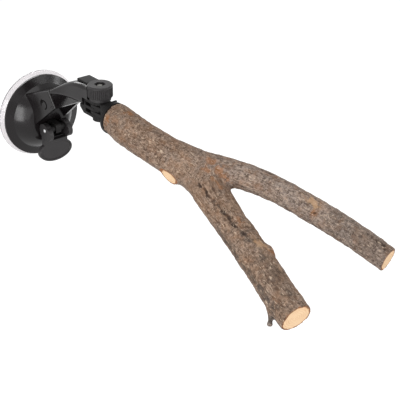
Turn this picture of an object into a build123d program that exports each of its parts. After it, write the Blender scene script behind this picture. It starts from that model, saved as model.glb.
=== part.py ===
from build123d import *
import math
import os

os.makedirs("parts", exist_ok=True)

# Bird perch held on a window by a lock-lever suction cup. Millimetres, +X away from the glass, +Z up.
# The origin is the centre of the suction face.

# Clear suction cup: a thin lip on the glass and a hollow that the stem pulls deeper
cup_r = 40.0
lip_t = 1.4
lip_w = 9.0
seat_x = 4.8
chamber_x = 4.2
chamber_r = 8.0
boss_r = 13.5
boss_x = 9.6
mould_gap = 0.05

# Pull stem: a disc and neck moulded into the cup, and a narrow head with round bosses for the lever pin
anchor_r = 11.0
anchor_t = 2.3
web_t = 1.4
neck_r = 5.0
head_x = 11.0
head_half_y = 2.6
head_top_z = 0.4
head_bottom_z = -9.6
head_nose = 4.0
eye_r = 3.2
eye_half_y = 7.2
guide_wall = 1.8
slide_gap = 0.3

# Lock lever: eccentric cams on the pin, which draw the stem out by the cam travel
pin_x = 29.0
pin_z = -4.5
pin_r = 1.5
pin_fit = 0.04
pin_stand = 0.5
cam_r = 7.0
cam_off = 1.5
cam_gap = 0.2
cheek_t = 4.2
lever_gap = 0.4
lobe_r = 6.5
lobe_x = 1.5
lobe_z = -3.0
paddle_w = 33.2
paddle_h = 20.4
paddle_z = -27.0
lever_t = 4.0
lever_set_back = 5.8
slot_depth = 9.0
pad_rim = 2.2
pad_depth = 0.7
pad_draft = 0.5

# Dome of the housing
dome_r = 36.8
dome_edge = 1.8
brim_w = 7.0
brim_rise = 2.6
flat_r = 14.5
wall = 2.2
rib_t = 1.6
rib_count = 8
rib_start_r = 17.0
rib_end_gap = 5.0
seam_turn = 20.0

# Hood over the cams: side profile, half widths and wall
hood_back = (6.0, 23.4)
hood_top = (42.0, 37.5)
hood_lip = (50.0, 24.0)
hood_root = (17.0, -3.3)
hood_half_back = 18.2
hood_half_front = 12.9
hood_wall = 2.4

# Swan-neck arm: at each X its half width, underside and top
arm_rows = (
    (36.0, 12.6, 29.0, 33.4),
    (48.0, 12.4, 35.2, 41.4),
    (58.0, 11.0, 36.6, 47.6),
    (70.0, 10.2, 38.0, 53.4),
    (82.0, 9.8, 38.8, 55.9),
    (94.0, 9.6, 39.2, 56.6),
)
arm_round = 3.4
arm_core_half = 5.8
arm_core_wall = 3.2
arm_under = 38.5

# Hinge: a stack of prongs on a vertical bolt
axis_x = 98.5
prong_t = 2.5
prong_gap = 0.3
prong_r = 8.0
stack_top = 45.4
bolt_r = 2.5
bolt_fit = 0.08
hex_af = 8.0
hex_fit = 0.1
bolt_head_h = 3.4
bolt_top = 57.5
boss_hex_r = 6.6

# Hinge yoke: a tail held in the fork of the arm
tail_back_x = 75.0
tail_half = 5.7
tail_top = 57.6
tail_floor = 42.2
root_back_x = 81.0
root_front_x = 88.8
tail_fit = 0.1
root_slope = 4.0
root_rise = 0.72
yoke_screw_x = 77.6
yoke_screw_r = 1.5
yoke_screw_head_r = 2.6
yoke_screw_head_h = 1.8
yoke_screw_len = 11.0

# Knob and washer
knob_r = 10.2
knob_top = 58.4
knob_lift = 0.3
knob_clear = 0.4
collar_h = 2.4
collar_in = 1.5
flute_count = 40
flute_r = 0.62
nut_h = 4.0
nut_seat = 51.2
nut_turn = 49.0
washer_r = 6.0
washer_t = 1.0

# Branch holder: two prongs, a flared neck and a round flange, turned to the heading at rest
heading = 5.0
neck_start = 9.4
flange_z = 34.1
flange_back = 14.0
flange_front = 17.6
flange_r = 13.05
flare_r = 11.2
stud_r = 3.0
stud_back = 11.6
stud_in_wood = 24.0

# Branch: points on the centre line with the radius there, butt first
stem_points = (
    ((130.6, 1.8, 31.9), 13.3),
    ((147.4, 5.6, 27.3), 13.4),
    ((165.2, 10.8, 22.2), 13.8),
    ((183.2, 16.2, 17.2), 14.7),
    ((203.0, 20.2, 10.5), 14.9),
    ((223.8, 15.9, 0.9), 13.2),
    ((244.6, 12.0, -7.3), 12.5),
    ((265.3, 8.7, -14.6), 12.6),
    ((285.5, 4.9, -21.5), 12.2),
    ((304.4, 0.9, -27.9), 12.2),
    ((327.5, -3.4, -34.7), 11.7),
)
fork_points = (
    ((180.0, 15.5, 18.5), 11.4),
    ((198.0, 24.5, 17.4), 11.8),
    ((217.7, 36.0, 16.6), 10.6),
    ((237.8, 46.6, 13.6), 10.0),
    ((258.9, 55.3, 8.2), 9.9),
    ((280.2, 62.9, 1.3), 10.0),
    ((301.4, 70.1, -5.7), 9.9),
    ((320.9, 76.1, -12.8), 9.8),
    ((341.8, 82.0, -20.8), 9.1),
)
butt_r = 12.4
uneven = 0.035
stub_on = (183.2, 16.2, 17.2)
stub_dir = (-0.03, -0.86, -0.51)
stub_r = 7.4
stub_reach = 15.4
knot_on = (276.0, 6.7, -18.4)
knot_dir = (0.37, 0.8, 0.48)
knot_r = 6.4
knot_reach = 8.0
thorn_root = (309.0, -8.5, -35.6)
thorn_tip = (313.0, -13.6, -44.8)
thorn_r = 2.2
fork_saw = (335.6, 82.0, -19.2)
fork_face = (0.979, 0.064, -0.191)


def save(name, shape):
    export_step(shape, f"parts/{name}.step")


def about_x(points):
    """A solid turned about the X axis from (x, r) points."""
    with BuildPart() as bp:
        with BuildSketch(Plane.XY):
            with BuildLine():
                Polyline(*points, close=True)
            make_face()
        revolve(axis=Axis.X)
    return bp.part


def block(x0, x1, y0, y1, z0, z1):
    return Pos((x0 + x1) / 2, (y0 + y1) / 2, (z0 + z1) / 2) * Box(x1 - x0, y1 - y0, z1 - z0)


def rod_z(x, r, z0, z1):
    return Pos(x, 0, (z0 + z1) / 2) * Cylinder(r, z1 - z0)


def rod_y(x, z, r, y0, y1):
    return Pos(x, (y0 + y1) / 2, z) * Rot(90, 0, 0) * Cylinder(r, y1 - y0)


def hex_z(x, af, z0, z1):
    return Pos(x, 0, z0) * extrude(RegularPolygon(af / 2, 6, major_radius=False), z1 - z0)


def side_profile(points, half):
    """A profile drawn in X and Z, carried out to both sides of the middle plane."""
    face = make_face(Polyline(*[(x, 0, z) for x, z in points], close=True))
    return extrude(face, half, dir=(0, 1, 0), both=True)


# Levels of the prong stack, from the top down: yoke, holder, yoke, holder, yoke
pitch = prong_t + prong_gap
levels = [(stack_top - i * pitch - prong_t, stack_top - i * pitch) for i in range(5)]
yoke_levels = levels[0::2]
holder_levels = levels[1::2]
stack_bottom = levels[-1][0]
stack_mid = (stack_top + stack_bottom) / 2
cam_seat_x = pin_x - cam_r - cam_off - cam_gap
cheek_in = eye_half_y + lever_gap
cheek_out = cheek_in + cheek_t

# Suction cup
anchor_x0 = chamber_x + web_t
anchor_x1 = anchor_x0 + anchor_t
lip_in = cup_r - lip_w
with BuildPart() as cup:
    with BuildSketch(Plane.XY):
        with BuildLine():
            Line((chamber_x, 0), (chamber_x, chamber_r))
            Spline((chamber_x, chamber_r), (chamber_x * 0.62, (chamber_r + lip_in) / 2), (0, lip_in),
                   tangents=((0, 1), (-0.16, 1)))
            Polyline((0, lip_in), (0, cup_r), (lip_t, cup_r), (lip_t + 0.5, cup_r - 1.2),
                     (seat_x - 0.5, dome_r - 0.3), (seat_x, dome_r - 1.2), (seat_x, dome_r - wall - 1.4),
                     (anchor_x1 - 1.3, boss_r + 2.5), (anchor_x1 + 0.6, boss_r), (boss_x - 0.8, boss_r),
                     (boss_x, boss_r - 0.8), (boss_x, neck_r + mould_gap),
                     (anchor_x1 + mould_gap, neck_r + mould_gap),
                     (anchor_x1 + mould_gap, anchor_r + mould_gap),
                     (anchor_x0 - mould_gap, anchor_r + mould_gap),
                     (anchor_x0 - mould_gap, 0), (chamber_x, 0))
        make_face()
    revolve(axis=Axis.X)
save("suction_cup", cup.part)

# Pull stem
head_front_x = pin_x + head_nose
stem = about_x([(anchor_x0, 0), (anchor_x0, anchor_r), (anchor_x1, anchor_r), (anchor_x1, neck_r),
                (head_x + 0.5, neck_r), (head_x + 0.5, 0)])
head = block(head_x, head_front_x, -head_half_y, head_half_y, head_bottom_z, head_top_z)
head = fillet(head.edges().filter_by(Axis.Y).group_by(Axis.X)[-1], head_nose - 0.6)
head += rod_y(pin_x, pin_z, eye_r, -eye_half_y, eye_half_y)
stem = stem + head - rod_y(pin_x, pin_z, pin_r + pin_fit, -eye_half_y - 1, eye_half_y + 1)
save("pull_stem", stem)

# Lever pin, standing out of the cheeks with rounded ends
pin_half = cheek_out + pin_stand
pin = rod_y(pin_x, pin_z, pin_r, -pin_half, pin_half)
pin = fillet(pin.edges().filter_by(GeomType.CIRCLE), 0.9 * pin_stand)
save("lever_pin", pin)

# Lock lever: cams, the web below them and the oval dished paddle
lever_back_x = pin_x - lever_set_back
lever_front_x = lever_back_x + lever_t
cam_x = pin_x - cam_off
cam_z = pin_z - cam_off
slot_z = pin_z - slot_depth
web_bottom = paddle_z + 0.3 * paddle_h
lever = rod_y(cam_x, cam_z, cam_r, -cheek_out, cheek_out)
lever += rod_y(pin_x + lobe_x, pin_z + lobe_z, lobe_r, -cheek_out, cheek_out)
lever += block(lever_back_x, lever_front_x, -cheek_out, cheek_out, web_bottom, cam_z)
lever -= block(0, 2 * pin_x, -cheek_in, cheek_in, slot_z, cam_z + 2 * cam_r)


def paddle_oval(x, inset):
    plane = Plane(origin=(x, 0, paddle_z), x_dir=(0, 1, 0), z_dir=(1, 0, 0))
    return plane * Ellipse(paddle_w / 2 - inset, paddle_h / 2 - inset)


pad = extrude(paddle_oval(lever_back_x, 0), lever_t)
pad = fillet(pad.edges().group_by(Axis.X)[-1], 0.9)
lever += pad
lever -= loft([paddle_oval(lever_front_x - pad_depth, pad_rim),
               paddle_oval(lever_front_x + pad_depth, pad_rim - 2 * pad_draft)])
lever -= rod_y(pin_x, pin_z, pin_r + pin_fit / 2, -cheek_out - 1, cheek_out + 1)
save("lock_lever", lever)

# Base housing: dome, first as the outer form and the hollow
rim_x = seat_x + dome_edge
brim_x = rim_x + brim_rise
brim_r = dome_r - brim_w
rise = cam_seat_x - brim_x
fall = brim_r - flat_r
with BuildPart() as dome_form:
    with BuildSketch(Plane.XY):
        with BuildLine():
            Polyline((cam_seat_x, flat_r), (cam_seat_x, 0), (seat_x + 0.2, 0), (seat_x + 0.2, dome_r),
                     (rim_x, dome_r))
            Line((rim_x, dome_r), (brim_x, brim_r))
            Spline((brim_x, brim_r), (brim_x + 0.42 * rise, brim_r - 0.25 * fall),
                   (brim_x + 0.78 * rise, brim_r - 0.54 * fall), (cam_seat_x, flat_r),
                   tangents=((0.8, -0.6), (0, -1)))
        make_face()
    revolve(axis=Axis.X)
with BuildPart() as dome_void:
    with BuildSketch(Plane.XY):
        with BuildLine():
            Polyline((cam_seat_x - wall, flat_r - 1.5), (cam_seat_x - wall, 0), (seat_x - 1, 0),
                     (seat_x - 1, dome_r - wall), (rim_x - 0.8 * wall, dome_r - wall),
                     (brim_x - 0.9 * wall, brim_r - 0.9 * wall))
            Spline((brim_x - 0.9 * wall, brim_r - 0.9 * wall),
                   (brim_x + 0.42 * rise - 0.8 * wall, brim_r - 0.25 * fall - 0.8 * wall),
                   (brim_x + 0.78 * rise - 0.9 * wall, brim_r - 0.54 * fall - 0.7 * wall),
                   (cam_seat_x - wall, flat_r - 1.5), tangents=((0.8, -0.6), (0, -1)))
        make_face()
    revolve(axis=Axis.X)
outer = Rot(seam_turn, 0, 0) * dome_form.part
hollow = Rot(seam_turn, 0, 0) * dome_void.part

# Hood: the same form, moved by the wall, is the cavity under it
hood_side = [hood_back, hood_top, hood_lip, hood_root, (hood_back[0], hood_root[1])]


def outward(a, b):
    length = math.hypot(b[0] - a[0], b[1] - a[1])
    return (-(b[1] - a[1]) / length, (b[0] - a[0]) / length)


n1 = outward(hood_back, hood_top)
n2 = outward(hood_top, hood_lip)
det = n1[0] * n2[1] - n1[1] * n2[0]
shift_x = -hood_wall * (n2[1] - n1[1]) / det
shift_z = -hood_wall * (n1[0] - n2[0]) / det


def hood_plan(inset):
    pts = [(hood_back[0] - 8, hood_half_back - inset), (hood_lip[0] + 2, hood_half_front - inset),
           (hood_lip[0] + 2, inset - hood_half_front), (hood_back[0] - 8, inset - hood_half_back)]
    return extrude(make_face(Polyline(*pts, close=True)), 2 * hood_top[1], both=True)


hood = side_profile(hood_side, 2 * hood_half_back) & hood_plan(0)
long_edges = [e for e in hood.edges()
              if e.center().Z > hood_lip[1] + hood_wall and abs(e.center().Y) > hood_half_front / 2]
hood = fillet(long_edges, 1.4)
cavity_side = [(x + shift_x, z + shift_z) for x, z in hood_side]
cavity = side_profile(cavity_side, 2 * hood_half_back) & hood_plan(hood_wall)

# Arm: one smooth form through rounded sections, forked at the end for the yoke
sections = []
for x, half, z0, z1 in arm_rows:
    plane = Plane(origin=(x, 0, (z0 + z1) / 2), x_dir=(0, 1, 0), z_dir=(1, 0, 0))
    sections.append(plane * RectangleRounded(2 * half, z1 - z0, min(arm_round, 0.42 * (z1 - z0))))
arm = loft(sections)
out_x = axis_x + 2 * knob_r
out_z = knob_top + 2 * knob_r
under_z = stack_bottom - prong_r
slot_half = tail_half + tail_fit
knob_space = rod_z(axis_x, knob_r + knob_clear, stack_top, out_z)
prong_space = block(root_front_x - 2.2, out_x, -2 * knob_r, 2 * knob_r, under_z, stack_top + prong_gap)
fork_slot = block(tail_back_x - tail_fit, out_x, -slot_half, slot_half, tail_floor, out_z)
fork_slot += block(root_back_x - tail_fit, out_x, -slot_half, slot_half, under_z, out_z)
core_a = arm_rows[2]
core_b = arm_rows[3]
core_low = core_a[2] - prong_r
core_side = [(core_a[0] - 2, core_low), (core_a[0] - 2, core_a[3] - arm_core_wall - 1.5),
             (core_b[0] - 1, core_b[3] - arm_core_wall), (core_b[0] - 1, core_low)]
core = side_profile(core_side, arm_core_half) - side_profile(core_side, rib_t / 2)

housing = outer + hood + arm
housing -= cavity - outer
housing -= hollow
housing -= knob_space
housing -= prong_space
housing -= fork_slot
housing -= core
seat = arm_under + 1.3
housing -= rod_z(yoke_screw_x, yoke_screw_r + 0.15, under_z, tail_floor + 1)
housing -= rod_z(yoke_screw_x, yoke_screw_head_r + 0.2, under_z, seat)

# Stem window with its guide, and ribs under the dome
window = block(0, head_front_x, -head_half_y - slide_gap, head_half_y + slide_gap,
               head_bottom_z - slide_gap, head_top_z + slide_gap)
rim_gap = slide_gap + guide_wall
guide = block(head_x + 2.5, cam_seat_x - 1, -head_half_y - rim_gap, head_half_y + rim_gap,
              head_bottom_z - rim_gap, head_top_z + rim_gap)
housing += guide
housing -= window
rib_end = dome_r - rib_end_gap
rib_side = [(boss_x, rib_start_r), (boss_x, rib_end), (cam_seat_x, rib_end), (cam_seat_x, rib_start_r)]
rib_zone = about_x(rib_side) & hollow
for i in range(rib_count):
    fin = Rot(i * 360 / rib_count, 0, 0) * block(0, cam_seat_x, neck_r, dome_r, -rib_t / 2, rib_t / 2)
    housing += fin & rib_zone
save("base_housing", housing)

# Hinge yoke
yoke = block(tail_back_x, root_front_x, -tail_half, tail_half, tail_floor + tail_fit, tail_top)
yoke = fillet(yoke.edges().filter_by(Axis.Y).group_by(Axis.Z)[-1].group_by(Axis.X)[0], 0.6)
yoke += block(root_back_x, root_front_x, -tail_half, tail_half, arm_under - 1, stack_top)
root = block(root_back_x, root_front_x, -prong_r, prong_r, stack_bottom, arm_under)
lower_edge = root.edges().filter_by(Axis.Y).group_by(Axis.Z)[0].group_by(Axis.X)[0]
yoke += chamfer(lower_edge, root_slope, root_rise * (arm_under - stack_bottom))
yoke += block(root_front_x - 2, root_front_x, -prong_r, prong_r, stack_bottom, stack_top)
for z0, z1 in yoke_levels:
    yoke += block(root_front_x - 1, axis_x, -prong_r, prong_r, z0, z1)
    yoke += rod_z(axis_x, prong_r, z0, z1)
boss_bottom = stack_bottom - bolt_head_h
yoke += rod_z(axis_x, boss_hex_r, boss_bottom, stack_bottom + 0.5)
yoke -= rod_z(axis_x, bolt_r + bolt_fit, under_z, stack_top + 1)
yoke -= hex_z(axis_x, hex_af + 2 * hex_fit, boss_bottom - 1, stack_bottom)
yoke -= knob_space
yoke -= rod_z(yoke_screw_x, yoke_screw_r + 0.05, seat, seat + yoke_screw_len + 0.4)
save("hinge_yoke", yoke)

# Yoke screw: pan head with a cross recess
screw = rod_z(yoke_screw_x, yoke_screw_r, seat - 0.5, seat + yoke_screw_len)
screw = chamfer(screw.edges().group_by(Axis.Z)[-1], 0.9)
cap = rod_z(yoke_screw_x, yoke_screw_head_r, seat - yoke_screw_head_h, seat)
cap = fillet(cap.edges().group_by(Axis.Z)[0], 0.8)
screw += cap
for turn in (0, 90):
    recess = Rot(0, 0, turn) * Box(1.3 * yoke_screw_head_r, 0.7, 1.6)
    screw -= Pos(yoke_screw_x, 0, seat - yoke_screw_head_h) * recess
save("yoke_screw", screw)

# Pivot bolt: hexagon head below, chamfered end above
bolt = rod_z(axis_x, bolt_r, stack_bottom - 1, bolt_top)
bolt = chamfer(bolt.edges().group_by(Axis.Z)[-1], 0.6)
bolt += hex_z(axis_x, hex_af, boss_bottom + 0.1, stack_bottom)
save("pivot_bolt", bolt)

# Washer
washer = rod_z(axis_x, washer_r, stack_top, stack_top + washer_t)
washer -= rod_z(axis_x, bolt_r + 2 * bolt_fit, stack_top - 1, stack_top + washer_t + 1)
save("washer", washer)

# Pivot knob: a plain collar, flutes above it, washer recess below and nut pocket above
nut_way = Pos(axis_x, 0, 0) * Rot(0, 0, nut_turn) * Pos(-axis_x, 0, 0)
knob_bottom = stack_top + knob_lift
grip_bottom = knob_bottom + collar_h
knob = rod_z(axis_x, knob_r, grip_bottom, knob_top)
knob = chamfer(knob.edges().filter_by(GeomType.CIRCLE), 0.7)
knob += rod_z(axis_x, knob_r - collar_in, knob_bottom, grip_bottom + 1)
flutes = []
for i in range(flute_count):
    a = 2 * math.pi * i / flute_count
    flute_at = Pos(axis_x + knob_r * math.cos(a), knob_r * math.sin(a), (grip_bottom + knob_top) / 2 - 0.9)
    flutes.append(flute_at * Cylinder(flute_r, knob_top - grip_bottom - 1.6))
knob = knob.cut(*flutes)
knob -= rod_z(axis_x, washer_r + 0.3, knob_bottom - 1, stack_top + washer_t)
knob -= rod_z(axis_x, bolt_r + 2 * bolt_fit, knob_bottom - 1, nut_seat + 1)
knob -= nut_way * hex_z(axis_x, hex_af + 0.04, nut_seat, knob_top + 1)
save("pivot_knob", knob)

# Nut in the knob
nut = nut_way * hex_z(axis_x, hex_af, nut_seat, nut_seat + nut_h)
nut -= rod_z(axis_x, bolt_r + bolt_fit / 2, nut_seat - 1, nut_seat + nut_h + 1)
save("knob_nut", nut)

# Branch holder, built straight along +X from the pivot and then turned to its heading
turn_rest = Pos(axis_x, 0, 0) * Rot(0, 0, heading) * Pos(-axis_x, 0, 0)
holder = block(axis_x + neck_start, axis_x + neck_start + 1.5, -prong_r, prong_r, stack_bottom, stack_top)
neck_face = Plane(origin=(axis_x + neck_start + 1.5, 0, stack_mid), x_dir=(0, 1, 0), z_dir=(1, 0, 0))
flare_face = Plane(origin=(axis_x + flange_back, 0, flange_z), x_dir=(0, 1, 0), z_dir=(1, 0, 0))
neck_section = neck_face * RectangleRounded(2 * prong_r, stack_top - stack_bottom, 1.5)
holder += loft([neck_section, flare_face * Circle(flare_r)])
flange = flare_face * Circle(flange_r)
disc = extrude(flange, flange_front - flange_back)
disc = fillet(disc.edges().group_by(Axis.X)[0], 1.0)
holder += disc
for z0, z1 in holder_levels:
    holder += block(axis_x, axis_x + neck_start + 1, -prong_r, prong_r, z0, z1)
    holder += rod_z(axis_x, prong_r, z0, z1)
holder -= rod_z(axis_x, bolt_r + bolt_fit, under_z, out_z)
stud_line = Pos(axis_x, 0, flange_z) * Rot(0, 90, 0)
stud_hole = Cylinder(stud_r, flange_front + 1 - stud_back)
holder -= stud_line * Pos(0, 0, (stud_back + flange_front + 1) / 2) * stud_hole
holder = turn_rest * holder
save("branch_holder", holder)

# Branch stud: threaded steel, half in the holder and half in the wood
stud_end = flange_front + stud_in_wood
stud = stud_line * Pos(0, 0, (stud_back + stud_end) / 2) * Cylinder(stud_r, stud_end - stud_back)
stud = chamfer(stud.edges().group_by(Axis.X)[-1], 1.4)
stud = turn_rest * stud
save("branch_stud", stud)

# Branch: two lofted limbs with uneven natural sections, sawn ends, a sawn side stub and a thorn
butt_dir = Vector(math.cos(math.radians(heading)), math.sin(math.radians(heading)), 0)
butt = Vector(axis_x, 0, flange_z) + butt_dir * flange_front


def ring(centre, along, r, k):
    """A closed natural outline across the limb, a little out of round in its own way at each place."""
    plane = Plane(origin=centre, x_dir=Vector(0, 0, 1).cross(along), z_dir=along)
    pts = []
    for j in range(8):
        a = 2 * math.pi * j / 8
        rr = r * (1 + uneven * math.sin(2 * a + 0.5 * k) + 0.6 * uneven * math.sin(3 * a + 0.8 * k))
        pts.append((rr * math.cos(a), rr * math.sin(a)))
    return plane * make_face(Spline(*pts, periodic=True))


def limb(rows, first_dir):
    centres = [Vector(*p) for p, r in rows]
    faces = []
    for k, (p, r) in enumerate(rows):
        before = centres[max(k - 1, 0)]
        after = centres[min(k + 1, len(rows) - 1)]
        along = first_dir if k == 0 and first_dir else (after - before).normalized()
        faces.append(ring(centres[k], along, r, k))
    return loft(faces)


branch = limb((((butt.X, butt.Y, butt.Z), butt_r),) + stem_points, butt_dir)
branch += limb(fork_points, None)
sawn_off = Pos(0, 0, butt_r) * Box(4 * butt_r, 4 * butt_r, 2 * butt_r)
branch -= Plane(origin=fork_saw, z_dir=fork_face) * sawn_off
stub_base = Plane(origin=stub_on, z_dir=stub_dir)
branch += stub_base * Pos(0, 0, stub_reach / 2) * Cone(stub_r + 1.2, stub_r, stub_reach)
branch += Plane(origin=knot_on, z_dir=knot_dir) * Pos(0, 0, knot_reach) * Sphere(knot_r)
thorn_way = Vector(*thorn_tip) - Vector(*thorn_root)
thorn_base = Plane(origin=thorn_root, z_dir=thorn_way)
branch += thorn_base * Pos(0, 0, thorn_way.length / 2) * Cone(thorn_r, 0.6 * thorn_r, thorn_way.length)
stud_bore = stud_line * Pos(0, 0, flange_front + stud_in_wood / 2) * Cylinder(stud_r, stud_in_wood)
branch -= turn_rest * stud_bore
save("branch", branch)
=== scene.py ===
import math

import bpy
import numpy as np
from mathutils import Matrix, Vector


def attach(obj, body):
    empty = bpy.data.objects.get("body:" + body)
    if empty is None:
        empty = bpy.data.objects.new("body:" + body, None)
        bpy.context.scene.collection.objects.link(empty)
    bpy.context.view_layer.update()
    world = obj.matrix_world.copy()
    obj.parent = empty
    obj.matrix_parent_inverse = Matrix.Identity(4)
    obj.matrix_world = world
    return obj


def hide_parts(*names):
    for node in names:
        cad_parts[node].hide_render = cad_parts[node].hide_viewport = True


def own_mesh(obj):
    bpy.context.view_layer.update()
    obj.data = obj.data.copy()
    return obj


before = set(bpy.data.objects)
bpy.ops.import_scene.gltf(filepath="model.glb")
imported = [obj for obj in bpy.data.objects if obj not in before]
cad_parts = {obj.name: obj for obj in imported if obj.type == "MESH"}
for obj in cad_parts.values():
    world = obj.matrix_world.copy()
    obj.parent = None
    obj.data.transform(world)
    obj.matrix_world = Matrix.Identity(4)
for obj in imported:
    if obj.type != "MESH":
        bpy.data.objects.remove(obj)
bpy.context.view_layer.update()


# Suction cup: one moulding of clear soft PVC, a thin lip that lies on the glass and a thicker middle that
# grips the disc of the pull stem. It is turned about the X axis and flattens when the lever lets the stem go.
MM = 0.001
cup_corners = (
    # x, r and corner radius in mm, from the hollow's middle out to the lip and back to the stem's disc
    (3.60, 0.0, 0.0), (3.60, 8.0, 2.5), (2.40, 19.5, 9.0), (0.00, 31.0, 6.0), (0.00, 39.2, 0.7),
    (1.50, 39.2, 0.7), (1.95, 38.2, 0.4), (4.30, 36.5, 0.5), (4.75, 35.5, 0.5), (4.75, 33.2, 1.0),
    (6.60, 16.0, 2.0), (8.50, 13.5, 0.8), (9.55, 13.5, 0.6), (9.55, 5.1, 0.2), (7.95, 5.1, 0.2),
    (7.95, 11.05, 0.2), (5.55, 11.05, 0.2), (5.55, 0.0, 0.0),
)
corner_steps, cup_steps = 7, 400


def rounded(corners, steps):
    """A corner line in (a, b, radius): each corner gives way to a quadratic curve between two points on its
    sides, which lie a radius away from it and at most 0.45 of the side."""
    most = 0.45
    line = np.array([c[:2] for c in corners], float)
    out = [line[:1]]
    t = np.linspace(0, 1, steps)[:, None]
    for before, here, after, (_, _, reach) in zip(line[:-2], line[1:-1], line[2:], corners[1:-1]):
        to_before, to_after = before - here, after - here
        a = here + to_before * min(reach / np.linalg.norm(to_before), most)
        b = here + to_after * min(reach / np.linalg.norm(to_after), most)
        out.append((1 - t) ** 2 * a + 2 * t * (1 - t) * here + t ** 2 * b)
    return np.concatenate(out + [line[-1:]])


def closed_loops(loops, first, last):
    """Points and faces of a stack of closed loops: quads from each loop to the next, and at each end a fan to
    one point."""
    rows, columns = loops.shape[:2]
    points = np.concatenate([loops.reshape(-1, 3), [first, last]])
    i, j = np.meshgrid(np.arange(rows - 1) * columns, np.arange(columns), indexing="ij")
    k = (j + 1) % columns
    quads = np.stack([i + j, i + k, i + columns + k, i + columns + j], -1).reshape(-1, 4)
    here = np.arange(columns)
    there = (here + 1) % columns
    end = (rows - 1) * columns
    first_fan = np.stack([np.full(columns, rows * columns), there, here], -1)
    last_fan = np.stack([np.full(columns, rows * columns + 1), end + here, end + there], -1)
    return points, quads.tolist() + first_fan.tolist() + last_fan.tolist()


def turned_about_x(line, steps):
    """Points (x, r cos a, r sin a) of an open line of (x, r) that starts and ends on the axis."""
    a = np.arange(steps) * 2 * np.pi / steps
    x, r = line[1:-1, :1], line[1:-1, 1:]
    rings = np.stack([x + 0 * a, r * np.cos(a), r * np.sin(a)], -1)
    return closed_loops(rings, (line[0, 0], 0, 0), (line[-1, 0], 0, 0))


def mesh_piece(name, points, faces, material, body):
    """A new smooth-shaded piece from points in mm, riding on a body of the frame."""
    mesh = bpy.data.meshes.new(name)
    mesh.from_pydata((np.asarray(points) * MM).tolist(), [], faces)
    mesh.polygons.foreach_set("use_smooth", np.ones(len(mesh.polygons), bool))
    mesh.materials.append(material)
    mesh.update()
    piece = bpy.data.objects.new(name, mesh)
    bpy.context.scene.collection.objects.link(piece)
    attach(piece, body)
    return piece


def linear(hex_colour):
    """sRGB hex to linear RGBA."""
    c = np.array([int(hex_colour[i:i + 2], 16) for i in (1, 3, 5)]) / 255
    c = np.where(c <= 0.04045, c / 12.92, ((c + 0.055) / 1.055) ** 2.4)
    return (*c.tolist(), 1.0)


def add(tree, kind, inputs=None, **settings):
    """Add one node: settings are its properties, inputs its socket values or the sockets that feed them."""
    node = tree.nodes.new(kind)
    for key, value in settings.items():
        setattr(node, key, value)
    for key, value in (inputs or {}).items():
        if isinstance(value, bpy.types.NodeSocket):
            tree.links.new(value, node.inputs[key])
        else:
            node.inputs[key].default_value = value
    return node


def empty_material(name):
    """A new material without nodes, and its node tree."""
    material = bpy.data.materials.new(name)
    material.use_nodes = True
    material.node_tree.nodes.clear()
    return material, material.node_tree


# Clear plasticised PVC, moulded and polished: bright, a little milky, with a very slow swell in its skin.
clear_pvc, tree = empty_material("clear_pvc_polished")
swell_mm, haze_mm = 22.0, 30.0
place = add(tree, "ShaderNodeTexCoord").outputs["Object"]
swell = add(tree, "ShaderNodeTexNoise", {"Vector": place, "Scale": 1 / (swell_mm * MM), "Detail": 1.0})
haze = add(tree, "ShaderNodeTexNoise", {"Vector": place, "Scale": 1 / (haze_mm * MM), "Detail": 2.0})
gloss = add(tree, "ShaderNodeMapRange", {"Value": haze.outputs["Fac"], "To Min": 0.08, "To Max": 0.16})
skin = add(tree, "ShaderNodeBump", {"Height": swell.outputs["Fac"], "Strength": 0.1, "Distance": 0.1 * MM})
shader = add(tree, "ShaderNodeBsdfPrincipled",
             {"Base Color": linear("#dedadc"), "Transmission Weight": 0.85, "IOR": 1.40,
              "Roughness": gloss.outputs["Result"], "Normal": skin.outputs["Normal"]})
add(tree, "ShaderNodeOutputMaterial", {"Surface": shader.outputs["BSDF"]})

points, faces = turned_about_x(rounded(cup_corners, corner_steps), cup_steps)
cup = mesh_piece("suction_cup_clear", points, faces, clear_pvc, "base")
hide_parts("suction_cup")
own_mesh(cup)


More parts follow.
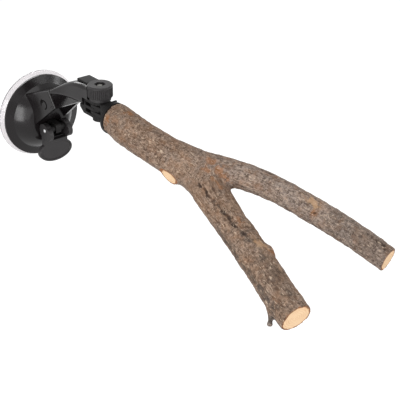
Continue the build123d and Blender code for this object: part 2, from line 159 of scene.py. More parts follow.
# Pull stem: glass-filled nylon with a disc moulded into the cup and a narrow head with round bosses for the
# lever pin. The hinge yoke in the arm's fork and the holder of the branch are moulded in the same nylon. It
# is dull black, with the grey flecks of the filler.
def moulded_black(name, shade, fleck, grain_mm, grain_depth_mm, roughness, specular):
    """Black moulded plastic: a faintly uneven colour, a gloss that varies over the piece and a spark-eroded
    grain, which is drawn coarser than the real one so that it shows."""
    cloud_mm = 16.0
    material, tree = empty_material(name)
    place = add(tree, "ShaderNodeTexCoord").outputs["Object"]
    cloud = add(tree, "ShaderNodeTexNoise", {"Vector": place, "Scale": 1 / (cloud_mm * MM), "Detail": 3.0})
    grain = add(tree, "ShaderNodeTexNoise", {"Vector": place, "Scale": 1 / (grain_mm * MM), "Detail": 4.0,
                                             "Roughness": 0.6})
    tone = add(tree, "ShaderNodeMapRange", {"Value": grain.outputs["Fac"],
                                            "From Min": 0.35, "From Max": 0.75})
    # a colour Mix goes by numbers: 0 is the share, 6 and 7 are the two colours, output 2 is their mixture
    colour = add(tree, "ShaderNodeMix", {0: tone.outputs["Result"], 6: linear(shade), 7: linear(fleck)},
                 data_type="RGBA")
    gloss = add(tree, "ShaderNodeMapRange", {"Value": cloud.outputs["Fac"], "From Min": 0.3, "From Max": 0.7,
                                             "To Min": roughness[0], "To Max": roughness[1]})
    relief = add(tree, "ShaderNodeBump", {"Height": grain.outputs["Fac"], "Strength": 0.6,
                                          "Distance": grain_depth_mm * MM})
    shader = add(tree, "ShaderNodeBsdfPrincipled",
                 {"Base Color": colour.outputs[2], "Roughness": gloss.outputs["Result"], "IOR": 1.52,
                  "Specular IOR Level": specular, "Normal": relief.outputs["Normal"]})
    add(tree, "ShaderNodeOutputMaterial", {"Surface": shader.outputs["BSDF"]})
    return material


def dress(material, *nodes):
    """Give CAD nodes a material of the scene."""
    for name in nodes:
        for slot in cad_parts[name].material_slots:
            slot.material = material


nylon = moulded_black("black_nylon_moulded", "#100f0f", "#1d1b1b", grain_mm=0.9, grain_depth_mm=0.05,
                      roughness=(0.45, 0.6), specular=0.16)
dress(nylon, "pull_stem", "hinge_yoke", "branch_holder")


# Base housing: dome, hood and swan-neck arm in one moulding of black ABS with a satin polish. It shows broad
# soft highlights on the dome and a brighter line along the hood's ridges.
abs_satin = moulded_black("black_abs_satin", "#110e0f", "#1b1718", grain_mm=1.2, grain_depth_mm=0.012,
                          roughness=(0.17, 0.23), specular=0.26)
dress(abs_satin, "base_housing")


# Turning mark: a raised curved arrow and a small round bump on the left wall of the hood, moulded with it.
# Both stand on the wall's plane and reach a little way into it. Sizes are in mm.
wall_at, wall_way = np.array((34.2, -14.62, 0.0)), np.array((0.995, 0.0995, 0.0))
wall_out, wall_up = np.array((0.0995, -0.995, 0.0)), np.array((0.0, 0.0, 1.0))
arc_at, arc_r, arc_from, arc_to = (0.9, 22.6), 3.7, math.radians(-65), math.radians(205)
line_half, head_half, head_share, tip_blunt = 0.8, 2.1, 0.70, 0.02
mark_rise, mark_sunk, mark_rows, mark_columns = 0.5, 0.2, 61, 9
bump_at, bump_r, bump_rise, bump_rows, bump_steps = (11.8, 23.4), 1.5, 0.9, 12, 40


def on_wall(along, up, out):
    """Points of the hood's left wall: along it, up it and out of it in mm."""
    along, up, out = (np.asarray(v, float)[..., None] for v in (along, up, out))
    return wall_at + along * wall_way + up * wall_up + out * wall_out


# Etched ABS: duller and darker than the wall, so that the arrow shows on it.
abs_etched = moulded_black("black_abs_etched", "#0a0909", "#131111", grain_mm=0.6, grain_depth_mm=0.04,
                           roughness=(0.7, 0.85), specular=0.06)

# The arrow runs along an arc as u goes from 0 to 1, and across it as s goes from -1 to 1: its height is
# (rise + sunk) (1 - s^2) - sunk, and its half width is steady on the line and shrinks along the head.
u, s = np.meshgrid(np.linspace(0, 1, mark_rows), np.linspace(-1, 1, mark_columns), indexing="ij")
angle = arc_from + (arc_to - arc_from) * u
half = np.where(u < head_share, line_half, head_half * (1 + tip_blunt - u) / (1 - head_share))
reach = arc_r + s * half
top = on_wall(arc_at[0] + reach * np.cos(angle), arc_at[1] + reach * np.sin(angle),
              (mark_rise + mark_sunk) * (1 - s ** 2) - mark_sunk)
foot = top[:, -2:0:-1]
foot = foot - wall_out * ((foot - wall_at) @ wall_out + mark_sunk)[..., None]
loops = np.concatenate([top, foot], 1)
points, faces = closed_loops(loops, loops[0].mean(0), loops[-1].mean(0))
mesh_piece("hood_arrow", points, faces, abs_etched, "base")

# The bump is a parabola turned about its own axis: its height is rise (1 - s^2) at s of its radius.
s = np.linspace(1, 0, bump_rows)
crown = np.stack([bump_rise * (1 - s ** 2), bump_r * s], -1)
points, faces = turned_about_x(np.concatenate([[(-mark_sunk, 0.0), (-mark_sunk, bump_r)], crown]), bump_steps)
points = on_wall(bump_at[0] + points[:, 1], bump_at[1] + points[:, 2], points[:, 0])
mesh_piece("hood_bump", points, faces, abs_satin, "base")


# Lock lever and fluted knob: moulded in black ABS with a spark-eroded grain, duller than the housing. The
# lever turns about the steel pin in the stem's head, and the knob clamps the swivel from the bolt's top.
abs_matte = moulded_black("black_abs_matte", "#191718", "#2c292a", grain_mm=0.8, grain_depth_mm=0.06,
                          roughness=(0.46, 0.58), specular=0.35)
dress(abs_matte, "lock_lever", "pivot_knob")


# Steel pieces: the ground lever pin, whose bright ends lie in the lever's cheeks, and the zinc-plated bolt,
# washer, nut, screw and stud, which are a dull grey.
def plated_steel(name, bright, dull, grain_mm, roughness):
    """Steel whose tone, gloss and shallow relief follow one grain, which is drawn coarser than real turning
    marks so that it shows."""
    material, tree = empty_material(name)
    place = add(tree, "ShaderNodeTexCoord").outputs["Object"]
    grain = add(tree, "ShaderNodeTexNoise", {"Vector": place, "Scale": 1 / (grain_mm * MM), "Detail": 5.0,
                                             "Roughness": 0.7})
    colour = add(tree, "ShaderNodeMix", {0: grain.outputs["Fac"], 6: linear(dull), 7: linear(bright)},
                 data_type="RGBA")
    gloss = add(tree, "ShaderNodeMapRange", {"Value": grain.outputs["Fac"], "To Min": roughness[0],
                                             "To Max": roughness[1]})
    relief = add(tree, "ShaderNodeBump", {"Height": grain.outputs["Fac"], "Strength": 0.3,
                                          "Distance": 0.03 * MM})
    shader = add(tree, "ShaderNodeBsdfPrincipled",
                 {"Base Color": colour.outputs[2], "Metallic": 1.0, "Roughness": gloss.outputs["Result"],
                  "Normal": relief.outputs["Normal"]})
    add(tree, "ShaderNodeOutputMaterial", {"Surface": shader.outputs["BSDF"]})
    return material


bright_steel = plated_steel("steel_ground_bright", "#f6f6f6", "#dededf", grain_mm=0.8, roughness=(0.38, 0.5))
zinc_steel = plated_steel("steel_zinc_plated", "#74736e", "#4f4f4e", grain_mm=1.1, roughness=(0.45, 0.62))
dress(bright_steel, "lever_pin")
dress(zinc_steel, "pivot_bolt", "washer", "knob_nut", "yoke_screw", "branch_stud")


# Branch: a natural forked limb with its bark on, sawn off at its butt, both tips and a side stub, and screwed
# on to the holder's stud. The two limbs grow out of each other, so their common skin is taken as the zero
# level of a distance field on a fine lattice. Sizes are in mm.
def unit(v):
    """The direction of a vector, with length 1."""
    return np.array(v) / np.linalg.norm(v)


stem_line = np.array((
    # x, y, z and radius, butt first; the first and last rows only carry the limb past its saw cuts
    (100.0, 0.13, 34.1, 12.2), (116.03, 1.53, 34.1, 12.4), (130.6, 1.8, 31.9, 13.3), (147.4, 5.6, 27.3, 13.4),
    (165.2, 10.8, 22.2, 13.8), (183.2, 16.2, 17.2, 14.7), (203.0, 20.2, 10.5, 14.9), (223.8, 15.9, 0.9, 13.2),
    (244.6, 12.0, -7.3, 12.5), (265.3, 8.7, -14.6, 12.6), (285.5, 4.9, -21.5, 12.2),
    (304.4, 0.9, -27.9, 12.2), (327.5, -3.4, -34.7, 11.7), (350.6, -7.7, -41.5, 11.2)))
fork_line = np.array((
    (144.0, 4.8, 28.6, 4.0), (162.0, 9.9, 23.1, 7.5), (180.0, 15.5, 18.5, 11.4), (198.0, 24.5, 17.4, 11.8),
    (217.7, 36.0, 16.6, 10.6), (237.8, 46.6, 13.6, 10.0), (258.9, 55.3, 8.2, 9.9), (280.2, 62.9, 1.3, 10.0),
    (301.4, 70.1, -5.7, 9.9), (320.9, 76.1, -12.8, 9.8), (341.8, 82.0, -20.8, 9.1),
    (362.7, 87.9, -28.8, 8.4)))
uneven = 0.035
crotch_blend, knot_blend, thorn_blend, stub_blend = 5.0, 3.0, 2.6, 4.0
stub_on, stub_way, stub_r, stub_reach = np.array((183.2, 16.2, 17.2)), unit((-0.03, -0.86, -0.51)), 7.4, 15.4
stub_taper, stub_spread, stub_past, far_out = 1.2, 10.0, 4.0, 9.0
knot_at, knot_r = np.array((276.0, 6.7, -18.4)) + 8.0 * np.array((0.37, 0.8, 0.48)), 6.3
thorn_root, thorn_tip, thorn_r = np.array((309.0, -8.5, -35.6)), np.array((312.9, -13.2, -43.6)), 3.0
butt_at, butt_way = stem_line[1, :3], np.array((-0.9962, -0.0872, 0.0))
stem_end, stem_way = stem_line[-2, :3], unit(stem_line[-2, :3] - stem_line[-3, :3])
fork_end, fork_way = np.array((334.3, 81.7, -18.8)), unit((0.955, 0.19, -0.235))
stub_cut, stub_face = stub_on + stub_reach * stub_way, np.array((0.07, -0.904, -0.422))
bark_reach, fissure_depth, cut_band = 2.2, 0.8, 0.35
fork_shift = 400.0  # moves the fork's pattern away from the stem's
lattice = 0.7
lattice_low, lattice_high = np.array((112.9, -17.0, -48.0)), np.array((345.0, 93.0, 54.0))


def smooth_through(x, xs, ys):
    """A cubic through the points (xs, ys) whose slope at each one is taken from its two neighbours."""
    slope = np.gradient(ys, xs)
    i = np.clip(np.searchsorted(xs, x) - 1, 0, len(xs) - 2)
    h = xs[i + 1] - xs[i]
    t = (x - xs[i]) / h
    return ((2 * t ** 3 - 3 * t ** 2 + 1) * ys[i] + (t ** 3 - 2 * t ** 2 + t) * h * slope[i]
            + (3 * t ** 2 - 2 * t ** 3) * ys[i + 1] + (t ** 3 - t ** 2) * h * slope[i + 1])


def limb_place(line, first_count, x, y, z):
    """Where a point lies on a limb: along it, across it in two directions, how far from its centre line and
    how far out of its skin. The centre line is a function of x, and the skin's radius at the angle a, near
    the row k after first_count, is r (1 + u sin(2 a + k / 2) + 0.6 u sin(3 a + 0.8 k)), with u for uneven."""
    xs = line[:, 0]
    cy, cz, r = (smooth_through(x, xs, line[:, c]) for c in (1, 2, 3))
    ahead = 0.5
    ty, tz = ((smooth_through(x + ahead, xs, line[:, c]) - smooth_through(x - ahead, xs, line[:, c]))
              / (2 * ahead) for c in (1, 2))
    size = np.sqrt(1 + ty ** 2 + tz ** 2)
    tx, ty, tz = 1 / size, ty / size, tz / size
    flat = np.sqrt(tx ** 2 + ty ** 2)
    dy, dz = y - cy, z - cz
    along = dy * ty + dz * tz
    across = dy * tx / flat
    upward = dz * flat - dy * ty * tz / flat
    count = np.interp(x + along * tx, xs, np.arange(len(xs)) - first_count)
    around = np.arctan2(upward, across)
    radius = r * (1 + uneven * np.sin(2 * around + 0.5 * count)
                  + 0.6 * uneven * np.sin(3 * around + 0.8 * count))
    out = np.hypot(across, upward)
    return x * size + along, across, upward, out, out - radius


def melt(a, b, reach):
    """The smaller of two distances, with the corner between them filled over the reach."""
    h = np.clip(0.5 + 0.5 * (b - a) / reach, 0, 1)
    return b + (a - b) * h - reach * h * (1 - h)


def side_growths(d, x, y, z):
    """Adds the stub, the knot and the thorn to a distance, and gives how far each point lies up and off the
    stub's line. The stub is a cone about its line, the knot a ball, and the thorn a round rod of radius
    r (1 - 0.75 t + 0.45 t^4) from its root at t = 0 to its tip at t = 1."""
    rel = np.stack(np.broadcast_arrays(x - stub_on[0], y - stub_on[1], z - stub_on[2]), -1)
    up = rel @ stub_way
    off = np.sqrt(np.maximum((rel ** 2).sum(-1) - up ** 2, 0))
    stub = np.maximum(off - (stub_r + stub_taper - stub_taper * np.clip(up / stub_reach, 0, 1)), -up)
    d = melt(d, np.where(up > stub_reach + stub_past, far_out, stub), stub_blend)
    ball = np.sqrt((x - knot_at[0]) ** 2 + (y - knot_at[1]) ** 2 + (z - knot_at[2]) ** 2) - knot_r
    d = melt(d, ball, knot_blend)
    spine = thorn_tip - thorn_root
    rel = np.stack(np.broadcast_arrays(x - thorn_root[0], y - thorn_root[1], z - thorn_root[2]), -1)
    t = np.clip(rel @ spine / (spine @ spine), 0, 1)
    thorn = np.linalg.norm(rel - t[..., None] * spine, axis=-1) - thorn_r * (1 - 0.75 * t + 0.45 * t ** 4)
    return melt(d, thorn, thorn_blend), up, off


def lump_noise(p, seed):
    """Smooth noise from 0 to 1: a number at each whole-number corner, hashed with large primes from the
    corner's place and the seed, and blended along the three axes."""
    base = np.floor(p).astype(np.int64)
    f = p - base
    w = f * f * f * (f * (6 * f - 15) + 10)
    total = np.zeros(len(p))
    for dx, dy, dz in np.ndindex(2, 2, 2):
        c = base + (dx, dy, dz)
        h = (c[:, 0] * 73856093) ^ (c[:, 1] * 19349663) ^ (c[:, 2] * 83492791) ^ (seed * 6542989)
        h = ((h ^ (h >> 13)) * 1274126177) & 0x7FFFFFFF
        h = ((h ^ (h >> 15)) * 668265263) & 0x7FFFFFFF
        part = np.abs(1 - dx - w[:, 0]) * np.abs(1 - dy - w[:, 1]) * np.abs(1 - dz - w[:, 2])
        total += part * ((h >> 7) & 0xFFFF) / 65535.0
    return total


def bark_relief(along, across, upward):
    """Height of the bark in mm in the straightened limb: broad swellings, plates drawn out along the limb and
    crumbs, each a height times its own noise, less the cracks where a fourth noise passes its middle."""
    crack_depth, crack_from = 0.5, 0.86
    p = np.stack([along, across, upward], -1)
    turn = np.array(((0.80, 0.36, 0.48), (-0.60, 0.48, 0.64), (0.0, -0.80, 0.60)))

    def noise(length, width, seed):
        return lump_noise(p / (length, width, width) @ turn, seed)

    swell, plate, crumb = (height * (noise(length, width, seed) - 0.5) for height, length, width, seed in (
        (0.35, 17.0, 11.0, 1), (0.5, 6.4, 3.6, 2), (0.6, 2.9, 1.9, 3)))
    crack = 1 - np.abs(2 * noise(9.0, 3.4, 4) - 1)
    return swell + plate + crumb - crack_depth * np.clip(crack - crack_from, 0, 1) / (1 - crack_from)


def line_distance(p, line):
    """Distance from each point to the nearest part of a broken line."""
    line = np.array(line, float)
    best = np.linalg.norm(p - line[0], axis=-1)
    for a, b in zip(line[:-1], line[1:]):
        t = np.clip((p - a) @ (b - a) / ((b - a) @ (b - a)), 0, 1)
        best = np.minimum(best, np.linalg.norm(p - a - t[:, None] * (b - a), axis=-1))
    return best


def marked(p, marks, seed):
    """How strongly the marks cover each point: full near a mark's line, fading to nothing at its width there.
    The width is 0.05 to 1.5 of the mark's reach, by a noise, so a long mark breaks up into pieces, and the
    line wanders by three more noises."""
    full, ragged_mm, wander_mm, bend_mm = 0.4, 2.3, 1.0, 3.4
    ragged = np.clip(2.4 * lump_noise(p / ragged_mm, seed) - 0.3, 0.05, 1.5)
    bend = np.stack([lump_noise(p / bend_mm, seed + k) for k in (10, 20, 30)], -1)
    p = p + 2 * wander_mm * (bend - 0.5)
    cover = np.zeros(len(p))
    for reach, strength, line in marks:
        fade = (1 - line_distance(p, line) / (reach * ragged)) / (1 - full)
        cover = np.maximum(cover, strength * np.clip(fade, 0, 1))
    return cover


# Each mark: its reach in mm, its strength and the line, or the single place, that it follows on the bark
fissures = (
    (1.5, 0.9, ((211.8, 7.1, 15.2), (223.9, 6.5, 10.9), (235.9, 5.8, 6.7), (253.4, 4.8, 1.4),
                (267.9, 4.5, -2.7))),
    (1.9, 0.8, ((318.6, 73.1, -1.4), (326.5, 75.1, -4.5), (334.2, 77.3, -7.8))),
    (1.8, 0.7, ((239.7, 49.2, 22.9), (243.5, 51.0, 22.2))),
    (1.4, 0.9, ((283.8, 54.8, 6.3),)),
)
stains_and_shade = (
    (4.2, 0.6, ((263.9, 5.1, -1.4), (271.0, 4.0, -3.6))),
    (4.6, 0.55, ((286.0, 2.5, -8.8),)),
    (5.0, 0.5, ((303.2, -2.7, -15.3),)),
    (5.0, 0.5, ((319.5, -3.0, -18.9),)),
    (5.0, 0.6, ((315.6, -12.5, -26.9),)),
    # painted shade: a dark band along the lower limb's left edge, which turns away from the light
    (3.6, 0.6, ((243.3, -0.4, -7.9), (260.8, -3.0, -13.3), (273.6, -4.9, -18.9), (291.5, -7.8, -22.5),
                (303.2, -10.6, -26.8), (313.1, -13.7, -31.6))),
    (4.0, 0.45, ((300.0, 68.0, 5.2), (312.0, 71.5, 1.2))),
    (5.0, 0.35, ((312.7, 64.6, -3.3), (320.1, 67.1, -5.6))),
    (3.4, 0.8, ((313.4, -12.6, -40.5), (312.9, -13.2, -43.6))),
    (13.0, 0.3, ((300.0, 62.0, 2.0), (334.0, 74.0, -11.0))),
    (13.0, 0.25, ((292.0, 1.0, -11.0), (326.0, -6.0, -24.0))),
)
rust_marks = (
    (3.6, 0.45, ((206.6, 22.5, 26.9), (214.6, 23.8, 23.5), (222.1, 25.9, 13.6))),
    (2.6, 0.4, ((208.5, 16.1, 23.7), (218.0, 16.8, 19.1), (226.5, 17.3, 14.2))),
    (4.0, 0.6, ((122.6, -10.6, 38.6),)),
    (3.4, 0.5, ((131.3, 2.0, 45.4), (134.0, 3.5, 44.4))),
    (4.0, 0.45, ((284.6, 13.6, -10.6),)),
    (3.0, 0.45, ((283.8, 54.8, 6.3),)),
    (5.0, 0.35, ((256.0, 10.0, 4.6),)),
)
pale_marks = (
    (4.6, 0.5, ((278.1, 59.6, 12.4), (281.0, 59.0, 11.0))),
    (4.2, 0.45, ((276.1, 8.8, -5.1), (279.0, 10.5, -6.6))),
)


def past(at, way, x, y, z):
    """How far a point lies past a plane."""
    return (x - at[0]) * way[0] + (y - at[1]) * way[1] + (z - at[2]) * way[2]


def branch_field(x, y, z):
    """Distance out of the smooth skin, before bark and saw cuts, the fork's share of each point, where it
    lies on each limb, and how far up and off the stub's line."""
    *on_stem, stem = limb_place(stem_line, 1, x, y, z)
    *on_fork, fork = limb_place(fork_line, 2, x, y, z)
    fork = np.maximum(fork, fork_line[0, 0] - x)
    d, up, off = side_growths(melt(stem, fork, crotch_blend), x, y, z)
    share = np.clip(0.5 + 0.5 * (stem - fork) / crotch_blend, 0, 1)
    return d, share, on_stem, on_fork, up, off


def barked(x, y, z):
    """At single points, the distance with the bark's height taken off it, and that height, which the limbs
    share at the crotch."""
    d, share, on_stem, on_fork, _, _ = branch_field(x, y, z)
    first, second = bark_relief(*on_stem[:3]), bark_relief(on_fork[0] + fork_shift, *on_fork[1:3])
    height = first + (second - first) * share
    height = height - fissure_depth * marked(np.stack([x, y, z], -1), fissures, 5)
    return d - height, height


counts = np.ceil((lattice_high - lattice_low) / lattice).astype(int)
gx, gy, gz = (lattice_low[c] + lattice * np.arange(counts[c]) for c in range(3))
grid = gx[:, None, None], gy[None, :, None], gz[None, None, :]
field, share, _, _, up, off = branch_field(*grid)
i, j, k = np.nonzero(np.abs(field) < bark_reach)
field[i, j, k] = barked(gx[i], gy[j], gz[k])[0]
stub_zone = (up > 0) & (off < stub_spread)
field = np.where(stub_zone, np.maximum(field, past(stub_cut, stub_face, *grid)), field)
tip_cut = np.where(share < 0.5, past(stem_end, stem_way, *grid), past(fork_end, fork_way, *grid))
field = np.maximum(field, tip_cut)
field = np.maximum(field, past(butt_at, butt_way, *grid))


def skin_of(field, low, step):
    """The zero level of a lattice of distances: in each cell that it crosses, one point at the mean of the
    crossings on the cell's edges, and across each crossed lattice edge a quad between its four cells."""
    inside = field < 0
    corners = [np.array(c) for c in np.ndindex(2, 2, 2)]
    size = np.array(field.shape) - 1

    def shifted(a, c):
        return a[c[0]:c[0] + size[0], c[1]:c[1] + size[1], c[2]:c[2] + size[2]]

    filled = sum(shifted(inside, c).astype(np.int8) for c in corners)
    cells = np.argwhere((filled > 0) & (filled < 8))
    value = np.stack([field[tuple((cells + c).T)] for c in corners], -1)
    total, crossings = np.zeros((len(cells), 3)), np.zeros(len(cells))
    for i, a in enumerate(corners):
        for j, b in enumerate(corners):
            if j > i and np.abs(a - b).sum() == 1:
                crossed = (value[:, i] < 0) != (value[:, j] < 0)
                span = np.where(crossed, value[:, i] - value[:, j], 1.0)
                t = np.where(crossed, value[:, i] / span, 0.0)[:, None]
                total += np.where(crossed[:, None], a + t * (b - a), 0.0)
                crossings += crossed
    points = low + step * (cells + total / crossings[:, None])
    number = np.full(size, -1, np.int32)
    number[tuple(cells.T)] = np.arange(len(cells))
    quads = []
    for axis in range(3):
        _, side, other = np.roll(np.eye(3, dtype=int), -axis, 0)
        lower = np.take(inside, np.arange(field.shape[axis] - 1), axis)
        upper = np.take(inside, np.arange(1, field.shape[axis]), axis)
        at = np.argwhere(lower != upper)
        leaving = lower[tuple(at.T)]
        around = (at, at - side, at - side - other, at - other)
        ring = np.stack([number[tuple(cell.T)] for cell in around], -1)
        quads.append(np.where(leaving[:, None], ring, ring[:, ::-1]))
    return points, np.concatenate(quads)


points, quads = skin_of(field, lattice_low, lattice)

# Bark: grey-brown and finely mottled, with pale breathing pores, darker cracks and rusty spots, with painted
# light and shade on it: darker in the hollows of its relief, greyer on the limbs' undersides and dark along
# the lower limb's left edge. Under it, on the saw cuts, lie a thin red-brown inner bark and cream sapwood
# with faint year rings.
bark_wood, tree = empty_material("branch_bark_and_sawn_wood")
patch_mm, tint_mm, ring_mm, ring_sway_mm = 15.0, 6.0, 1.7, 2.2
place = add(tree, "ShaderNodeTexCoord").outputs["Object"]
patch = add(tree, "ShaderNodeTexNoise", {"Vector": place, "Scale": 1 / (patch_mm * MM), "Detail": 3.0,
                                         "Roughness": 0.6}).outputs["Fac"]
tint = add(tree, "ShaderNodeTexNoise", {"Vector": place, "Scale": 1 / (tint_mm * MM), "Detail": 3.0,
                                        "Roughness": 0.6}).outputs["Fac"]
limb = add(tree, "ShaderNodeAttribute", attribute_name="limb_mm").outputs["Vector"]
under = add(tree, "ShaderNodeSeparateXYZ", {0: limb}).outputs["Z"]
own = {name: add(tree, "ShaderNodeAttribute", attribute_name=name).outputs["Fac"]
       for name in ("depth_mm", "pith_mm", "relief_mm", "fork_share", "fissure", "stain_and_shade", "rust_mark",
                    "pale_mark")}
grain = {}
for name, length_mm, width_mm, detail, roughness, distortion in (
        ("pits", 2.5, 1.15, 2.0, 0.55, 0.9), ("strokes", 4.0, 1.25, 3.0, 0.62, 1.0),
        ("wrinkles", 1.35, 3.0, 3.0, 0.62, 1.2)):
    drawn = add(tree, "ShaderNodeVectorMath", {0: limb, 1: (1 / length_mm, 1 / width_mm, 1 / width_mm)},
                operation="MULTIPLY")
    grain[name] = add(tree, "ShaderNodeTexNoise", {
        "Vector": drawn.outputs[0], "Scale": 1.0, "Detail": detail, "Roughness": roughness,
        "Distortion": distortion}).outputs["Fac"]

crossed = add(tree, "ShaderNodeMath", {0: grain["strokes"], 1: grain["wrinkles"]}, operation="ADD")
tone = add(tree, "ShaderNodeMapRange", {"Value": crossed.outputs[0], "From Min": 0.82, "From Max": 1.18})
# painted shade and light: the bark is drawn darker where its relief sinks and paler where it rises, over its
# own streaky tone
relief_shade_and_tone = add(tree, "ShaderNodeMath", {0: own["relief_mm"], 1: 0.4, 2: tone.outputs["Result"]},
             operation="MULTIPLY_ADD", use_clamp=True)
brown = add(tree, "ShaderNodeMix", {0: relief_shade_and_tone.outputs[0], 6: linear("#574336"), 7: linear("#9d8470")},
            data_type="RGBA")
grey = add(tree, "ShaderNodeMix", {0: relief_shade_and_tone.outputs[0], 6: linear("#5b4e47"), 7: linear("#a5968b")},
           data_type="RGBA")
grey_patch = add(tree, "ShaderNodeMapRange", {"Value": patch, "From Min": 0.42, "From Max": 0.7,
                                              "To Max": 0.5})
grey_limb = add(tree, "ShaderNodeMath", {0: own["fork_share"], 1: 0.6, 2: grey_patch.outputs["Result"]},
                operation="MULTIPLY_ADD")
# painted light: below the limb's middle the bark is drawn greyer and a little paler, standing in for the soft
# light under it
painted_underside_light = add(tree, "ShaderNodeMapRange", {"Value": under, "From Min": 0.0, "From Max": -11.0})
grey_and_underside_light_share = add(tree, "ShaderNodeMath", {0: grey_limb.outputs[0], 1: painted_underside_light.outputs["Result"]},
                 operation="MAXIMUM", use_clamp=True)
greyed_and_underside_lit = add(tree, "ShaderNodeMix", {0: grey_and_underside_light_share.outputs[0], 6: brown.outputs[2], 7: grey.outputs[2]},
             data_type="RGBA")

tint_share = add(tree, "ShaderNodeMapRange", {"Value": tint, "From Min": 0.48, "From Max": 0.75,
                                              "To Max": 0.5}).outputs["Result"]
pit_share = add(tree, "ShaderNodeMapRange", {"Value": grain["pits"], "From Min": 0.37, "From Max": 0.25,
                                             "To Max": 0.6}).outputs["Result"]
pore_share = add(tree, "ShaderNodeMapRange", {"Value": grain["pits"], "From Min": 0.6, "From Max": 0.7,
                                              "To Max": 0.6}).outputs["Result"]
dark_share = add(tree, "ShaderNodeMath", {0: pit_share, 1: own["fissure"]}, operation="MAXIMUM").outputs[0]
# layers, each over the last: a warm tint, stains and painted shade, rust, pits and cracks, pale scrapes and
# pores
bark = greyed_and_underside_lit.outputs[2]
for cover, hex_colour in ((tint_share, "#906a4e"), (own["stain_and_shade"], "#3d3835"), (own["rust_mark"], "#99602f"),
                          (dark_share, "#342822"), (own["pale_mark"], "#cda57c"), (pore_share, "#d3bda6")):
    bark = add(tree, "ShaderNodeMix", {0: cover, 6: bark, 7: linear(hex_colour)}, data_type="RGBA").outputs[2]

ring_sway = add(tree, "ShaderNodeMath", {0: patch, 1: ring_sway_mm}, operation="MULTIPLY")
ring_at = add(tree, "ShaderNodeMath", {0: own["pith_mm"], 1: ring_sway.outputs[0]}, operation="ADD")
ring_turn = add(tree, "ShaderNodeMath", {0: ring_at.outputs[0], 1: 2 * math.pi / ring_mm},
                operation="MULTIPLY")
ring_wave = add(tree, "ShaderNodeMath", {0: ring_turn.outputs[0]}, operation="SINE")
ring_share = add(tree, "ShaderNodeMapRange", {"Value": ring_wave.outputs[0], "From Min": 0.2, "From Max": 1.0,
                                              "To Max": 0.45})
mottle = add(tree, "ShaderNodeMath", {0: tint_share, 1: 0.7, 2: ring_share.outputs["Result"]},
             operation="MULTIPLY_ADD", use_clamp=True)
wood = add(tree, "ShaderNodeMix", {0: mottle.outputs[0], 6: linear("#fbdab3"), 7: linear("#e3b07f")},
           data_type="RGBA")
inner_share = add(tree, "ShaderNodeMapRange", {"Value": own["depth_mm"], "From Min": 0.35, "From Max": 0.7})
inner = add(tree, "ShaderNodeMix", {0: inner_share.outputs["Result"], 6: bark, 7: linear("#996746")},
            data_type="RGBA")
wood_share = add(tree, "ShaderNodeMapRange", {"Value": own["depth_mm"], "From Min": 1.2, "From Max": 1.7})
colour = add(tree, "ShaderNodeMix", {0: wood_share.outputs["Result"], 6: inner.outputs[2],
                                     7: wood.outputs[2]}, data_type="RGBA")
crumble = add(tree, "ShaderNodeMath", {0: crossed.outputs[0], 1: grain["pits"]}, operation="ADD")
bark_only = add(tree, "ShaderNodeMapRange", {"Value": own["depth_mm"], "From Min": 1.2, "From Max": 0.5,
                                             "To Min": 0.15})
height = add(tree, "ShaderNodeMath", {0: crumble.outputs[0], 1: bark_only.outputs["Result"]},
             operation="MULTIPLY")
relief = add(tree, "ShaderNodeBump", {"Height": height.outputs[0], "Strength": 0.8, "Distance": 0.4 * MM})
shader = add(tree, "ShaderNodeBsdfPrincipled",
             {"Base Color": colour.outputs[2], "Roughness": 0.88, "Specular IOR Level": 0.25,
              "Normal": relief.outputs["Normal"]})
add(tree, "ShaderNodeOutputMaterial", {"Surface": shader.outputs["BSDF"]})

branch = mesh_piece("branch_with_bark", points, quads.tolist(), bark_wood, "perch")
_, share, on_stem, on_fork, up, off = branch_field(*points.T)
d, relief_mm = barked(*points.T)
nearer_stem = share < 0.5
on_stub = (past(stub_cut, stub_face, *points.T) > -cut_band) & (up > 0) & (off < stub_spread)
tip_past = np.where(nearer_stem, past(stem_end, stem_way, *points.T), past(fork_end, fork_way, *points.T))
on_cut = on_stub | (tip_past > -cut_band) | (past(butt_at, butt_way, *points.T) > -cut_band)
# What the material reads at each point: on a saw cut the depth under the bark and the way from the pith, then
# the bark's height, the fork's share, the cover of each kind of mark and the place on the straightened limb
for name, values in (
        ("depth_mm", np.where(on_cut, np.maximum(-d, 0), 0)),
        ("pith_mm", np.where(on_stub, off, np.where(nearer_stem, on_stem[3], on_fork[3]))),
        ("relief_mm", relief_mm), ("fork_share", share),
        ("fissure", marked(points, fissures, 5)), ("stain_and_shade", marked(points, stains_and_shade, 8)),
        ("rust_mark", marked(points, rust_marks, 6)), ("pale_mark", marked(points, pale_marks, 7))):
    attribute = branch.data.attributes.new(name, "FLOAT", "POINT")
    attribute.data.foreach_set("value", values.astype(np.float32))
limb_mm = np.where(nearer_stem[:, None], np.stack(on_stem[:3], -1),
                   np.stack(on_fork[:3], -1) + (fork_shift, 0.0, 0.0))
attribute = branch.data.attributes.new("limb_mm", "FLOAT_VECTOR", "POINT")
attribute.data.foreach_set("vector", limb_mm.astype(np.float32).ravel())
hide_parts("branch")


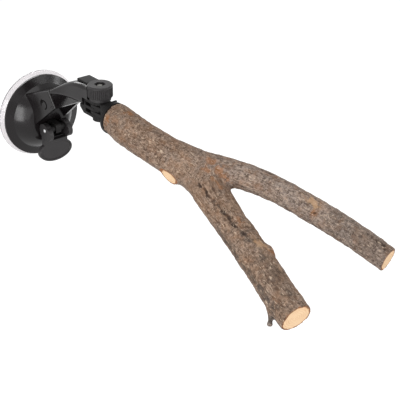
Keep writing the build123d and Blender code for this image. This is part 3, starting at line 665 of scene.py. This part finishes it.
# Studio: a white floor well below the part, a white surround, and soft lamps in front of the part, to its
# right, behind it and above it. Floor and surround are white to the eye, in gloss and through the clear cup,
# but light the part only as a dimmer room would. Sizes are in m.
floor_z, floor_half, floor_glow, room_level = -0.32, 3.0, 0.86, 0.4
white_floor, tree = empty_material("studio_floor_white")
path = add(tree, "ShaderNodeLightPath")
seen = add(tree, "ShaderNodeMath", {0: path.outputs["Is Camera Ray"], 1: path.outputs["Is Glossy Ray"]},
           operation="ADD")
seen = add(tree, "ShaderNodeMath", {0: seen.outputs[0], 1: path.outputs["Is Transmission Ray"]},
           operation="ADD")
glow = add(tree, "ShaderNodeMath", {0: seen.outputs[0], 1: floor_glow}, operation="MULTIPLY", use_clamp=True)
paint = add(tree, "ShaderNodeBsdfDiffuse", {"Color": linear("#959595")})
light = add(tree, "ShaderNodeEmission", {"Strength": glow.outputs[0]})
both = add(tree, "ShaderNodeAddShader", {0: paint.outputs[0], 1: light.outputs[0]})
add(tree, "ShaderNodeOutputMaterial", {"Surface": both.outputs[0]})
floor_mesh = bpy.data.meshes.new("studio_floor")
floor_mesh.from_pydata([(-floor_half, -floor_half, floor_z), (floor_half, -floor_half, floor_z),
                        (floor_half, floor_half, floor_z), (-floor_half, floor_half, floor_z)],
                       [], [(0, 1, 2, 3)])
floor_mesh.materials.append(white_floor)
floor = bpy.data.objects.new("studio_floor", floor_mesh)
bpy.context.scene.collection.objects.link(floor)

world = bpy.data.worlds.new("studio_surround")
bpy.context.scene.world = world
world.use_nodes = True
tree = world.node_tree
tree.nodes.clear()
path = add(tree, "ShaderNodeLightPath")
seen = add(tree, "ShaderNodeMath", {0: path.outputs["Is Camera Ray"], 1: path.outputs["Is Glossy Ray"]},
           operation="ADD")
seen = add(tree, "ShaderNodeMath", {0: seen.outputs[0], 1: path.outputs["Is Transmission Ray"]},
           operation="ADD", use_clamp=True)
level = add(tree, "ShaderNodeMapRange", {"Value": seen.outputs[0], "To Min": room_level, "To Max": 1.0})
sky = add(tree, "ShaderNodeBackground", {"Color": linear("#ffffff"), "Strength": level.outputs["Result"]})
add(tree, "ShaderNodeOutputWorld", {"Surface": sky.outputs[0]})

middle = Vector((0.17, 0.02, 0.0))  # the lamps aim at the part's middle
for name, azimuth, elevation, distance, width, height, level in (
        # angles in degrees; the level is what a lamp adds to a white surface that faces it, so its power is
        # pi squared times the distance squared times the level
        ("lamp_front_left", 19, 6, 1.3, 0.46, 0.95, 0.70),
        ("lamp_front", 41, 8, 1.3, 0.5, 0.8, 0.12),
        ("lamp_front_right", 70, 20, 1.5, 0.8, 0.8, 0.13),
        ("lamp_right", 126, 36, 1.4, 0.35, 0.35, 0.08),
        ("lamp_right_strip", 143, 4, 1.4, 0.12, 0.3, 0.08),
        ("lamp_far_right", 120, 0, 1.5, 0.4, 0.8, 0.26),
        ("lamp_back", -98, 28, 1.4, 0.8, 0.32, 0.30),
        ("lamp_overhead", 60, 75, 1.5, 1.0, 1.0, 0.22)):
    lamp = bpy.data.lights.new(name, "AREA")
    lamp.shape = "RECTANGLE"
    lamp.size, lamp.size_y = width, height
    lamp.energy = math.pi ** 2 * distance ** 2 * level
    holder = bpy.data.objects.new(name, lamp)
    bpy.context.scene.collection.objects.link(holder)
    a, e = math.radians(azimuth), math.radians(elevation)
    way = Vector((math.sin(a) * math.cos(e), -math.cos(a) * math.cos(e), math.sin(e)))
    holder.location = middle + distance * way
    holder.rotation_euler = (-way).to_track_quat("-Z", "Y").to_euler()

# Camera: the photograph's angle, a square frame 25 degrees across. Its axes come from its azimuth and
# elevation, turned by a small roll about its own line of sight.
azimuth, elevation, roll, view_angle = (math.radians(a) for a in (48.86, 29.19, 1.56, 25.0))
eye = (0.6524, -0.3758, 0.3273)
back = np.array((math.sin(azimuth) * math.cos(elevation), -math.cos(azimuth) * math.cos(elevation),
                 math.sin(elevation)))
right = np.array((math.cos(azimuth), math.sin(azimuth), 0.0))
upright = np.cross(back, right)
tilted_right = math.cos(roll) * right + math.sin(roll) * upright
tilted_up = math.cos(roll) * upright - math.sin(roll) * right
view = bpy.data.cameras.new("photo_camera")
view.sensor_fit = "HORIZONTAL"
view.angle = view_angle
view.clip_start, view.clip_end = 0.01, 20.0
camera = bpy.data.objects.new("photo_camera", view)
bpy.context.scene.collection.objects.link(camera)
axes = np.column_stack([tilted_right, tilted_up, back, eye])
camera.matrix_world = Matrix(axes.tolist() + [[0, 0, 0, 1]])
bpy.context.scene.camera = camera
bpy.context.scene.view_settings.view_transform = "Standard"
